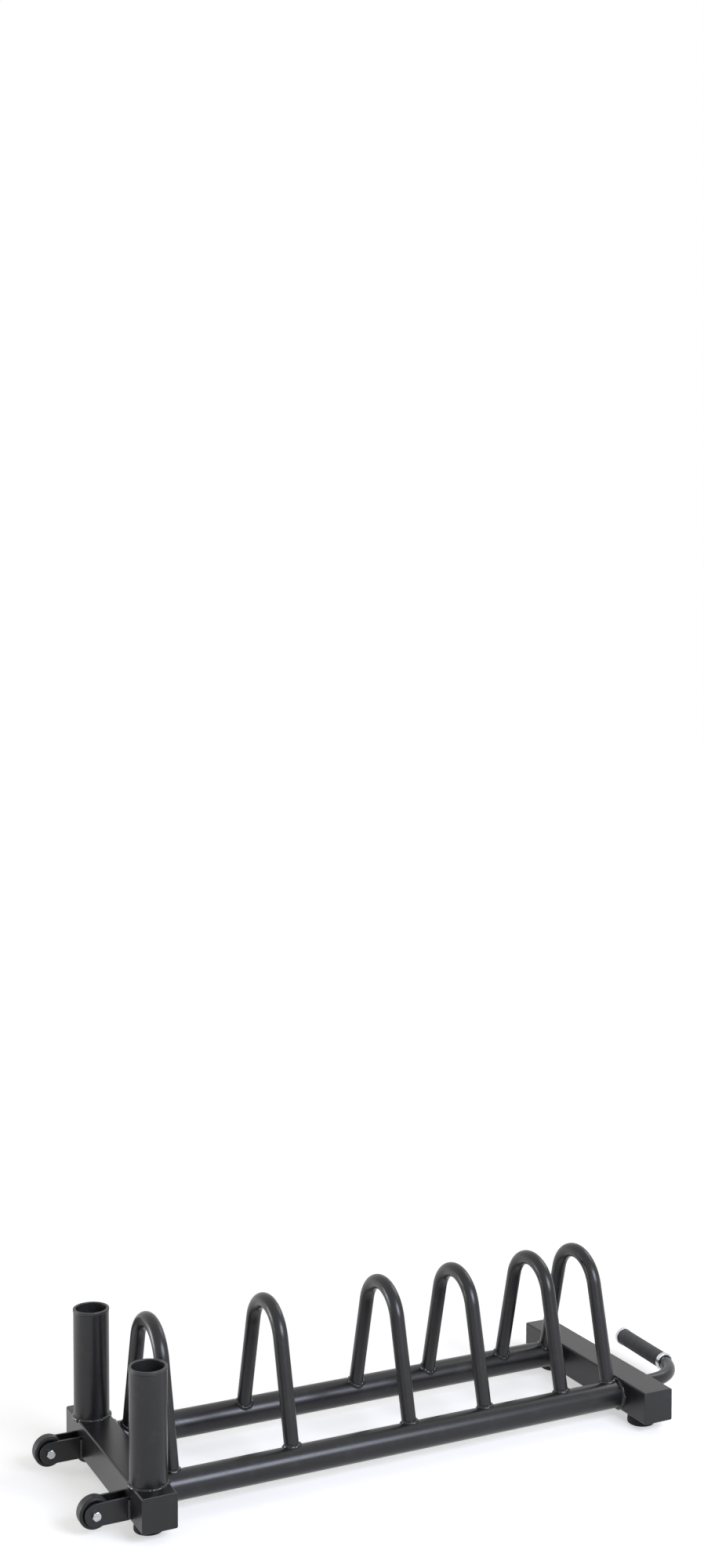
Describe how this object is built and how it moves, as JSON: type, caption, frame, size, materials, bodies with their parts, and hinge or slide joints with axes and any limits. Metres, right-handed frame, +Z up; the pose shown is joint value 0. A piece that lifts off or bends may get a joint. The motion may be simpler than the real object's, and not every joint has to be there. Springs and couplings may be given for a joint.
{
  "type": "weight plate rack",
  "caption": "Low rack on a welded tube frame that stores weight plates on edge between hoops and holds barbells upright, with transport wheels and a lifting handle.",
  "frame": {"origin": "on the floor, under the middle of the bounding box", "axes": "+X along the rack from the wheels to the handle, +Y across it towards the handle's free end, +Z up"},
  "size_m": [1.1888, 0.392, 0.2858],
  "materials": {
    "powder_coat": "satin black powder coat",
    "zinc_steel": "bright zinc plating",
    "aluminium": "turned, bright",
    "foot_rubber": "matt moulded rubber",
    "grip_rubber": "matt rubber sleeve",
    "wheel_plastic": "satin moulded nylon",
    "black_plastic": "satin moulded plastic"
  },
  "bodies": {
    "frame": {"axle_bolt_far": "zinc_steel", "axle_bolt_near": "zinc_steel", "axle_nut_far": "zinc_steel", "axle_nut_near": "zinc_steel", "axle_sleeve_far": "zinc_steel", "axle_sleeve_near": "zinc_steel", "beam_handle_end": "powder_coat", "beam_handle_end_cap_far": "powder_coat", "beam_handle_end_cap_near": "powder_coat", "beam_wheel_end": "powder_coat", "beam_wheel_end_cap_far": "powder_coat", "beam_wheel_end_cap_near": "powder_coat", "foot_handle_end_far": "foot_rubber", "foot_handle_end_near": "foot_rubber", "foot_screw_handle_end_far": "zinc_steel", "foot_screw_handle_end_near": "zinc_steel", "foot_screw_wheel_end_far": "zinc_steel", "foot_screw_wheel_end_near": "zinc_steel", "foot_wheel_end_far": "foot_rubber", "foot_wheel_end_near": "foot_rubber", "grip_ring_far": "aluminium", "grip_ring_near": "aluminium", "handle_grip": "grip_rubber", "handle_plug": "black_plastic", "handle_tube": "powder_coat", "holder_liner_far": "black_plastic", "holder_liner_near": "black_plastic", "holder_tube_far": "powder_coat", "holder_tube_near": "powder_coat", "hoop_1": "powder_coat", "hoop_2": "powder_coat", "hoop_3": "powder_coat", "hoop_4": "powder_coat", "hoop_5": "powder_coat", "hoop_6": "powder_coat", "rail_far": "powder_coat", "rail_near": "powder_coat", "wheel_ear_far_inner": "powder_coat", "wheel_ear_far_outer": "powder_coat", "wheel_ear_near_inner": "powder_coat", "wheel_ear_near_outer": "powder_coat"},
    "near_wheel": {"wheel_near": "wheel_plastic"},
    "far_wheel": {"wheel_far": "wheel_plastic"}
  },
  "joints": [
    {"name": "near_wheel_spin", "type": "hinge", "parent": "frame", "child": "near_wheel", "pos_m": [-0.56936, -0.123, 0.0363], "axis": [0, 1, 0], "continuous": true},
    {"name": "far_wheel_spin", "type": "hinge", "parent": "frame", "child": "far_wheel", "pos_m": [-0.56936, 0.123, 0.0363], "axis": [0, 1, 0], "continuous": true}
  ]
}
